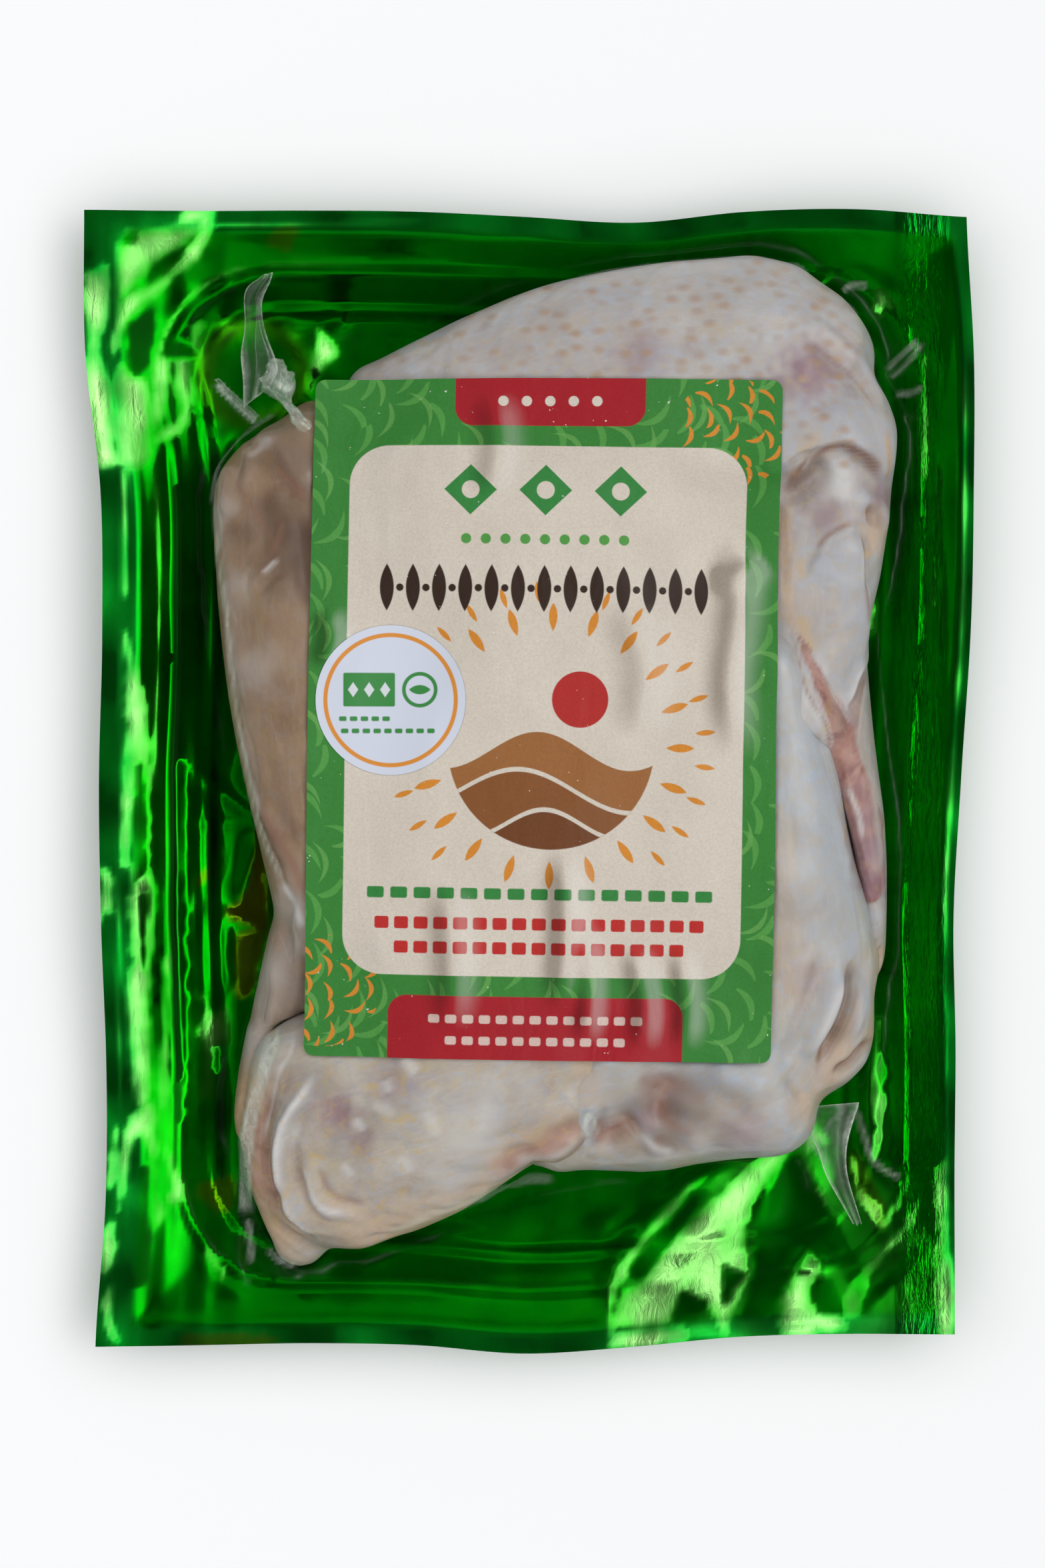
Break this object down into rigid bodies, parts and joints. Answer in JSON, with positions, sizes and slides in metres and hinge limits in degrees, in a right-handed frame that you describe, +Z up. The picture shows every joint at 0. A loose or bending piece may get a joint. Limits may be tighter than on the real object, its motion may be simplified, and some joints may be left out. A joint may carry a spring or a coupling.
{
  "type": "vacuum pack of raw chicken wings",
  "caption": "Raw chicken wings sealed under clear film on a stepped green foil tray, with a large paper label and a round sticker.",
  "frame": {"origin": "under the middle of the pack, on the surface it lies on", "axes": "+X towards the pack's right edge, +Y towards its top edge as the label is read, +Z up out of the label"},
  "size_m": [0.1948, 0.2504, 0.0389],
  "materials": {
    "foil": "bright green metallised foil, mirror-like, with soft steps and creases",
    "film": "thin clear sealing film with a wet gloss",
    "skin": "pale pinkish raw chicken skin with yellowish fat, small follicles and a few bruises, under tight film",
    "label": "satin printed paper in green, cream and red",
    "sticker": "white satin paper with an ochre ring"
  },
  "bodies": {
    "root": {"foil_tray": "foil", "clear_film": "film", "wing_upper": "skin", "wing_right": "skin", "wing_lower": "skin", "wing_left": "skin", "paper_label": "label", "round_sticker": "sticker"}
  },
  "joints": []
}
